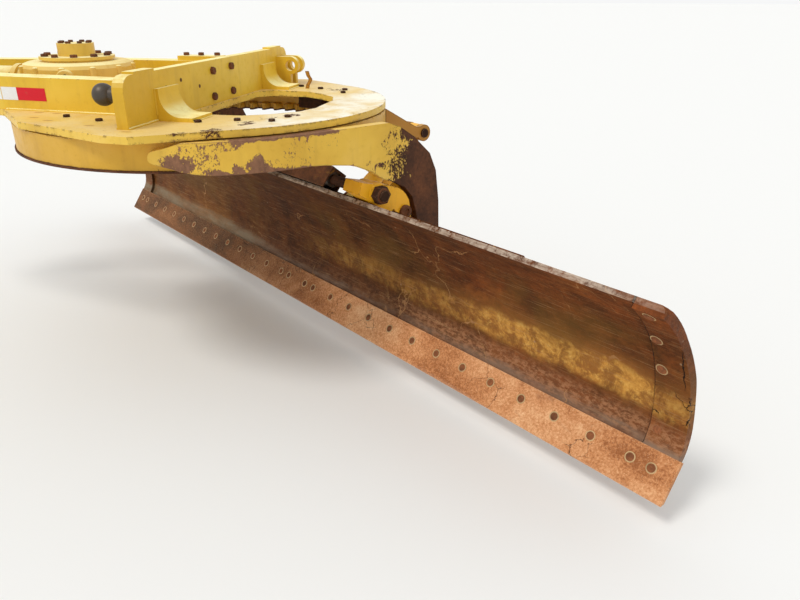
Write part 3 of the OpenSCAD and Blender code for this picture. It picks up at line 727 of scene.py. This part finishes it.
FACE = blade_face()
EDGE = edge_steel()
DARK = steel("dark_steel", 14.0, (92, 84, 76), 0.45, 0.8, 0.7)
BRIGHT = steel("bright_rod", 15.0, (206, 208, 210), 0.16, 1.0, 0.10)
WHITE = stripe_film("stripe_white", 17.0, (240, 240, 238))
RED = stripe_film("stripe_red", 18.0, (218, 14, 38))
RIM = steel("pale_rims", 21.0, (206, 172, 122), 0.5, 0.25, 0.35)
HEAD = rusted("bolt_heads", 22.0, 1.45)


def dress(names, mat, bevel=0.0025):
    """Give solids their material, and a soft edge where bevel isn't 0."""
    for n in names:
        o = NODE[n]
        o.data.materials.clear()
        o.data.materials.append(mat)
        if bevel:
            b = o.modifiers.new("soft_edges", "BEVEL")
            b.width = bevel
            b.segments = 2
            b.limit_method = "ANGLE"
            b.angle_limit = math.radians(40)
            b.harden_normals = False


dress(["drawbar_plate"], PLATE)
dress(["beams", "nose", "lift_plate", "centre_shift_eye"], YELLOW)
dress(["drive_housing", "drive_cap", "drive_motor"], HOUSING)
dress(["circle_ring"], RING_PAINT, 0)
dress(["arm_near", "arm_far"], ARM_PAINT, 0.003)
dress(["ram_ears"], EAR_PAINT, 0.002)
dress(["bracket_near", "bracket_far"], CAST_PAINT, 0.004)
dress(["cross_tube", "side_shift_cover"], RUST, 0.002)
dress(["guide_shoes", "side_shift_rod", "tip_pins"], RUST_DARK, 0)
dress(["side_shift_barrel", "pinion", "front_ball", "lift_studs"], DARK, 0)
dress(["moldboard"], FACE, 0)
dress(["end_plate_near", "end_plate_far"], FACE, 0.002)
dress(["edge_near", "edge_far"], EDGE, 0.002)
dress(["ram_barrel"], CAST_PAINT, 0)
dress(["ram_rod"], BRIGHT, 0)


# ---------------------------------------------------------------- mesh kit
def ring_points(centre, x, y, r, n, twist=0.0):
    """n points of a circle about centre, in the plane of x and y."""
    angles = [twist + 2 * math.pi * i / n for i in range(n)]
    return [centre + (x * math.cos(a) + y * math.sin(a)) * r for a in angles]


def spin():
    """A bolt head's own turn."""
    return random.uniform(0, 1)


class Pile:
    """Collects small solids of one material into one mesh."""

    def __init__(self):
        self.v, self.f = [], []

    def skin(self, rings):
        """A closed solid over rings of as many points each, with both ends capped."""
        start, n = len(self.v), len(rings[0])
        self.v += [tuple(p) for ring in rings for p in ring]
        faces = [(j * n + i, j * n + (i + 1) % n, (j + 1) * n + (i + 1) % n, (j + 1) * n + i)
                 for j in range(len(rings) - 1) for i in range(n)]
        faces.append(range(n - 1, -1, -1))
        faces.append(range((len(rings) - 1) * n, len(rings) * n))
        self.f += [tuple(i + start for i in face) for face in faces]

    def turned(self, base, axis, profile, n, twist=0.0):
        """A solid of revolution about axis from base; the profile is (radius, height) pairs going up."""
        z = Vector(axis).normalized()
        x = z.orthogonal().normalized()
        y = z.cross(x)
        self.skin([ring_points(base + z * h, x, y, r, n, twist) for r, h in profile])

    def hexbolt(self, base, axis, size, twist, washer=False):
        """A hexagon head, size its width across flats and its height, with or without a washer."""
        across, height = size
        if washer:
            rim, lip = across * 0.95, across * 0.89
            self.turned(base, axis, [(rim, -0.001), (rim, 0.0022), (lip, 0.003)], 20)
            base = base + axis * 0.003
        r = across / 2 / math.cos(math.pi / 6)
        profile = [(r, -0.001), (r, height * 0.86), (r * 0.93, height * 0.97), (r * 0.80, height)]
        self.turned(base, axis, profile, 6, twist)

    def box(self, corner, ax, ay, az, chamfer):
        """A block from a corner along three edge vectors, its edges along az cut by a share of ax and ay."""
        c = chamfer
        outline = ((c, 0), (1 - c, 0), (1, c), (1, 1 - c), (1 - c, 1), (c, 1), (0, 1 - c), (0, c))
        foot = [corner + (ax * u + ay * w) for u, w in outline]
        self.skin([foot, [p + az for p in foot]])

    def weld(self, a, b, r=0.0055, pitch=0.006):
        """A rippled, slightly uneven weld bead from a to b."""
        last = max(4, int((b - a).length / pitch))
        rnd = random.Random(last)
        pts = [a.lerp(b, i / last) + Vector([rnd.uniform(-0.0006, 0.0006) for _ in range(3)])
               for i in range(last + 1)]
        x = (pts[1] - pts[0]).normalized().orthogonal().normalized()
        rings = []
        for j, p in enumerate(pts):
            t = (pts[min(j + 1, last)] - pts[max(j - 1, 0)]).normalized()
            x = (x - t * x.dot(t)).normalized()
            rings.append(ring_points(p, x, t.cross(x), r * (1.09 if j % 2 else 0.91), 6))
        self.skin(rings)

    def make(self, name, mat, body, slot=None, smooth=None):
        """The pile's object; edges sharper than smooth degrees stay sharp."""
        me = bpy.data.meshes.new(name)
        me.from_pydata(self.v, [], self.f)
        bm = bmesh.new()
        bm.from_mesh(me)
        bmesh.ops.recalc_face_normals(bm, faces=bm.faces)
        bm.to_mesh(me)
        bm.free()
        o = link_object(name, me)
        me.materials.append(mat)
        if smooth:
            me.polygons.foreach_set("use_smooth", [True] * len(me.polygons))
            me.update()
            o.modifiers.new("split", "EDGE_SPLIT").split_angle = math.radians(smooth)
        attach(o, body)


# ---------------------------------------------------------------- drawbar details
# heads' widths across flats and heights, metres
PLATE_HEAD, LIFT_HEAD, COVER_HEAD, MOTOR_HEAD = (0.023, 0.009), (0.027, 0.014), (0.024, 0.014), (0.010, 0.007)
FLANGE_HEAD, CAP_HEAD, FOOT_HEAD = (0.026, 0.012), (0.020, 0.009), (0.022, 0.012)
EDGE_NUT, END_NUT = (0.032, 0.018), (0.030, 0.016)

PLATE_BOLTS = ((296.7, 539.1), (126.6, 589.7), (-230.8, 532.1), (-351.4, 467.8), (-478, 452), (-500, 352))
plate = Pile()
for x, y in PLATE_BOLTS:
    for side in (1, -1):
        plate.hexbolt(D(x, side * y, 0), EZ, PLATE_HEAD, spin())
plate.make("plate_bolts", RUST_DARK, "drawbar", "dark_steel")

# four bolts and two small plugs on the lift plate's rear face, at LIFT_REAR mm
LIFT_REAR = -82
lift = Pile()
for y, z in ((99.7, 131.5), (-71.4, 134.8), (105.2, 30.6), (-71.1, 33.5)):
    lift.hexbolt(D(LIFT_REAR, y, z), -EX, LIFT_HEAD, spin())
for y, z in ((354, 122), (215, 84)):
    lift.turned(D(LIFT_REAR, y, z), -EX, [(0.007, -0.001), (0.007, 0.0012), (0.004, 0.0016)], 12)
lift.make("lift_bolts", BOLT, "drawbar", "dark_steel")


def beam_side(x, z, side, out):
    """A point on a beam's outer side, out millimetres off it. The beams bend inward at x = 650."""
    y = 469 - (x + 40) * 35 / 690 if x <= 650 else 434 - (x - 650) * 269 / 1190
    return D(x, side * (y + out), z)


STRIPE_LOW, STRIPE_HIGH, STRIPE_THICK = 38, 86, 1.0
STRIPES = ((445, 576, RED, "red"), (576.5, 648, WHITE, "white"), (652, 708, WHITE, "white_end"))
for side, tag in ((1, "left"), (-1, "right")):
    for x0, x1, mat, kind in STRIPES:
        corners = ((x0, STRIPE_LOW), (x1, STRIPE_LOW), (x1, STRIPE_HIGH), (x0, STRIPE_HIGH))
        stripe = Pile()
        stripe.skin([[beam_side(x, z, side, out) for x, z in corners] for out in (0.0, STRIPE_THICK)])
        stripe.make("stripe_%s_%s" % (kind, tag), mat, "drawbar")

# the cover with its bolts, on the right beam ahead of the lift plate
cover = Pile()
corner = D(120, -458, 124)
cover.box(corner, D(330, -447, 124) - corner, D(120, -372, 124) - corner, EZ * 0.022, 0.06)
cover.make("beam_cover", YELLOW, "drawbar", "yellow_paint")
cover_bolts = Pile()
for x, y in ((150, -424), (228, -412), (300, -402)):
    cover_bolts.hexbolt(D(x, y, 146), EZ, COVER_HEAD, spin())
cover_bolts.make("beam_cover_bolts", BOLT, "drawbar", "dark_steel")

# the bent post on the plate, a flat bar 18 by 6 mm
POST = ((-282, -473, -1), (-286, -474, 16), (-297, -476, 34), (-299, -477, 44),
        (-290, -475, 58), (-284, -474, 80))
post = Pile()
points = [D(*p) for p in POST]
for a, b in zip(points[:-1], points[1:]):
    post.box(a - EX * 0.009 - EY * 0.003, EX * 0.018, EY * 0.006, b - a, 0.1)
post.make("bent_post", EAR_PAINT, "drawbar", "yellow_paint")

# circle drive: its axis in mm ahead of the circle's centre, and the cosine of half the arc the motor takes
DRIVE_X, FRONT_FREE = 605, math.cos(math.radians(22))


def drive_pt(r, a, z):
    """A point about the drive's axis, in millimetres."""
    return D(DRIVE_X + r * math.cos(a), r * math.sin(a), z)


# rings of bolts: how many, first angle, radius and height in mm, head, whether the motor cuts into the ring
DRIVE_RINGS = ((10, 12, 132, 170, FLANGE_HEAD, False), (8, 8, 60, 222, CAP_HEAD, False),
               (12, 4, 248, 14, FOOT_HEAD, True))
drive_bolts = Pile()
for count, start, r, z, head, cut in DRIVE_RINGS:
    for i in range(count):
        a = math.radians(360 // count * i + start)
        if not cut or math.cos(a) < FRONT_FREE:
            drive_bolts.hexbolt(drive_pt(r, a, z), EZ, head, a)
MOTOR_X, MOTOR_Z, MOTOR_R = 919, 60, 63
for i in range(6):
    a = math.radians(60 * i)
    drive_bolts.hexbolt(D(MOTOR_X, MOTOR_R * math.sin(a), MOTOR_Z + MOTOR_R * math.cos(a)), EX, MOTOR_HEAD, a)
drive_bolts.make("drive_bolts", BOLT, "drawbar", "dark_steel")

# round lugs under the drum's shoulder, and the foot's flat ring
LUG = [(0.004, 0), (0.012, 0.006), (0.012, 0.040), (0.006, 0.044)]
ribs = Pile()
for i in range(12):
    a = math.radians(30 * i + 19)
    if math.cos(a) < FRONT_FREE:
        ribs.turned(drive_pt(229, a, 95), EZ, LUG, 12)
centre = D(DRIVE_X, 0, 0)
foot = [drive_pt(268, math.radians(5 * k), 0) for k in range(72)]
ribs.skin([foot, [p + EZ * 0.011 for p in foot], [p + EZ * 0.014 + (centre - p) * 0.012 for p in foot]])
ribs.make("drive_ribs", HOUSING, "drawbar", "yellow_paint", 40)

# the boss on the drum's side, and its plug
BOSS_AT = math.radians(112)
outward = Vector((math.cos(BOSS_AT), math.sin(BOSS_AT), 0))
boss = Pile()
boss.turned(drive_pt(215, BOSS_AT, 96), outward,
            [(0.036, 0), (0.036, 0.030), (0.032, 0.034), (0.024, 0.035)], 28)
boss.make("drive_boss", HOUSING, "drawbar", "yellow_paint", 35)
plug = Pile()
plug.turned(drive_pt(248, BOSS_AT, 96), outward, [(0.020, 0), (0.020, 0.006), (0.012, 0.008)], 6)
plug.make("drive_plug", RUST_DARK, "drawbar", "dark_steel")

# weld beads on the drawbar's left, and mirrored on its right: two ends and the radius
BEADS = (
    ((-40, 470, 1), (640, 435.5, 1), 0.0055), ((-40, 470, 2), (-40, 730, 2), 0.0055),
    ((-82, 546, 2), (-82, 730, 2), 0.0055), ((-218, 395, 0), (-218, 545, 0), 0.004),
    ((-82, 545.5, 20), (-82, 545.5, 112), 0.0045), ((-39.5, 470, 4), (-39.5, 470, 122), 0.005),
)
welds = Pile()
for side in (1, -1):
    for (xa, ya, za), (xb, yb, zb), r in BEADS:
        welds.weld(D(xa, side * ya, za), D(xb, side * yb, zb), r)
welds.make("drawbar_welds", YELLOW, "drawbar", "yellow_paint", 60)


# ---------------------------------------------------------------- tip frame details
def on_curve(deg, out):
    """x and z, in the blade's frame in millimetres, of a point that far outside the main curve."""
    a, r = math.radians(deg), CURVE_R * 1000 + out
    return CURVE_X * 1000 + r * math.cos(a), CURVE_Z * 1000 + r * math.sin(a)


# the hub around the side shift rod's near end, which lies 52 degrees up the curve
HUB = [(0.038, 0), (0.043, 0.006), (0.045, 0.106), (0.042, 0.112), (0.034, 0.1135)]
HUB_Y, ROD_END_Y = -690, -834
rod_x, rod_z = on_curve(52, 70)
hub = Pile()
hub.turned(B(rod_x, HUB_Y, rod_z), -UY, HUB, 40)
hub.make("rod_hub", CAST_PAINT, "tip_frame", "yellow_paint", 35)

# round caps on the rod's end, the near casting's boss and the two pivot pins
ROD_CAP = [(0.031, -0.001), (0.031, 0.001), (0.027, 0.0025), (0.021, 0.0025)]
BOSS_CAP = [(0.029, -0.002), (0.029, 0.010), (0.026, 0.013), (0.016, 0.0135), (0.014, 0.008), (0.005, 0.007)]
PIN_CAP = [(0.034, -0.002), (0.034, 0.004), (0.030, 0.006)]
BOSS_END = (434, -800, -400)
PIN_X, PIN_END_Y, PIN_Z = 665, 819.5, -801
caps = Pile()
caps.turned(B(rod_x, ROD_END_Y, rod_z), -UY, ROD_CAP, 24)
caps.turned(B(*BOSS_END), -UY, BOSS_CAP, 28)
for side in (-1, 1):
    caps.turned(B(PIN_X, side * PIN_END_Y, PIN_Z), UY * side, PIN_CAP, 28)
caps.make("casting_nuts", BOLT, "tip_frame", "dark_steel", 35)

# ---------------------------------------------------------------- blade details
# profiles of the bolts' rims and heads, in the edge and in the end plates
EDGE_RIM = [(0.0185, -0.001), (0.0185, 0.0008), (0.0175, 0.0016), (0.0150, 0.0016), (0.0143, 0.0006)]
EDGE_HEAD = [(0.0146, -0.001), (0.0146, 0.0009), (0.0115, 0.0016), (0.005, 0.0019)]
END_RIM = [(0.0205, -0.001), (0.0205, 0.0006), (0.0185, 0.0011), (0.0168, 0.0006)]
END_HEAD = [(0.0165, -0.002), (0.0165, 0.0015), (0.013, 0.0045), (0.006, 0.006)]
# the edge's bolts in inches along the blade from the first, which is 3 in from the end, and mm below the toe
INCH = 0.0254
EDGE_BOLTS = (0, 3, 9, 15, 21, 27, 33, 39, 45, 51, 57, 63, 69, 75, 78,
              84, 87, 93, 99, 105, 111, 117, 123, 129, 135, 141, 147, 153, 159, 162)
EDGE_DROP = 59
# the end plates' bolts: degrees up the curve, and mm in from the end. The top one has no nut behind
END_BOLTS = ((50.0, 94, False), (34.2, 113.5, True), (20.3, 112.5, True), (-4.0, 108, True))
lean_c, lean_s = math.cos(LEAN), math.sin(LEAN)


def on_edge(y, out):
    """A point at the edge bolts' height on the straight lower part, out millimetres behind its face."""
    r = TOE_R * 1000 + out
    x = TOE_X * 1000 + r * lean_c - EDGE_DROP * lean_s
    return B(x, y, CURVE_Z * 1000 - r * lean_s - EDGE_DROP * lean_c)


rims, heads, nuts = Pile(), Pile(), Pile()
front = -UX * lean_c + EZ * lean_s
for k in EDGE_BOLTS:
    y = (BLADE_START + 3 * INCH + k * INCH) * 1000
    rims.turned(on_edge(y, -PROUD), front, EDGE_RIM, 28)
    heads.turned(on_edge(y, -PROUD), front, EDGE_HEAD, 20)
    nuts.hexbolt(on_edge(y, THICK), -front, EDGE_NUT, spin(), washer=True)
for end, inward in ((BLADE_START * 1000, 1), ((BLADE_START + BLADE_LEN) * 1000, -1)):
    for deg, inset, has_nut in END_BOLTS:
        y, a = end + inward * inset, math.radians(deg)
        x, z = on_curve(deg, -PROUD)
        normal = -UX * math.cos(a) - EZ * math.sin(a)
        heads.turned(B(x, y, z), normal, END_HEAD, 22)
        rims.turned(B(x, y, z), normal, END_RIM, 26)
        if has_nut:
            x, z = on_curve(deg, THICK)
            nuts.hexbolt(B(x, y, z), -normal, END_NUT, spin(), washer=True)
rims.make("edge_bolt_rims", RIM, "moldboard", "edge_steel")
heads.make("edge_bolt_heads", HEAD, "moldboard", "edge_steel")
nuts.make("edge_bolt_nuts", RUST_DARK, "moldboard", "dark_steel")

# two beads along each of the slide rails behind the moldboard
RAIL_FROM, RAIL_TO, RAIL_HALF = -1486, 1514, 12.5
rail_welds = Pile()
for deg in (6.0, 39.5):
    a = math.radians(deg)
    x, z = on_curve(deg, 20)
    for off in (-RAIL_HALF, RAIL_HALF):
        xo, zo = x - off * math.sin(a), z + off * math.cos(a)
        rail_welds.weld(B(xo, RAIL_FROM, zo), B(xo, RAIL_TO, zo), 0.005, 0.012)
rail_welds.make("rail_welds", RUST_DARK, "moldboard", "rusty_paint", 60)

# ---------------------------------------------------------------- floor
me = bpy.data.meshes.new("floor")
floor_z = CAD_LO[2] - FLOOR_DROP
corners = [(x * FLOOR_HALF, y * FLOOR_HALF, floor_z) for x, y in ((-1, -1), (1, -1), (1, 1), (-1, 1))]
me.from_pydata(corners, [], [(0, 1, 2, 3)])
floor = link_object("floor", me)
floor.data.materials.append(Mat("floor_pale", 20.0).done(rgb(240, 240, 238), 0.9))
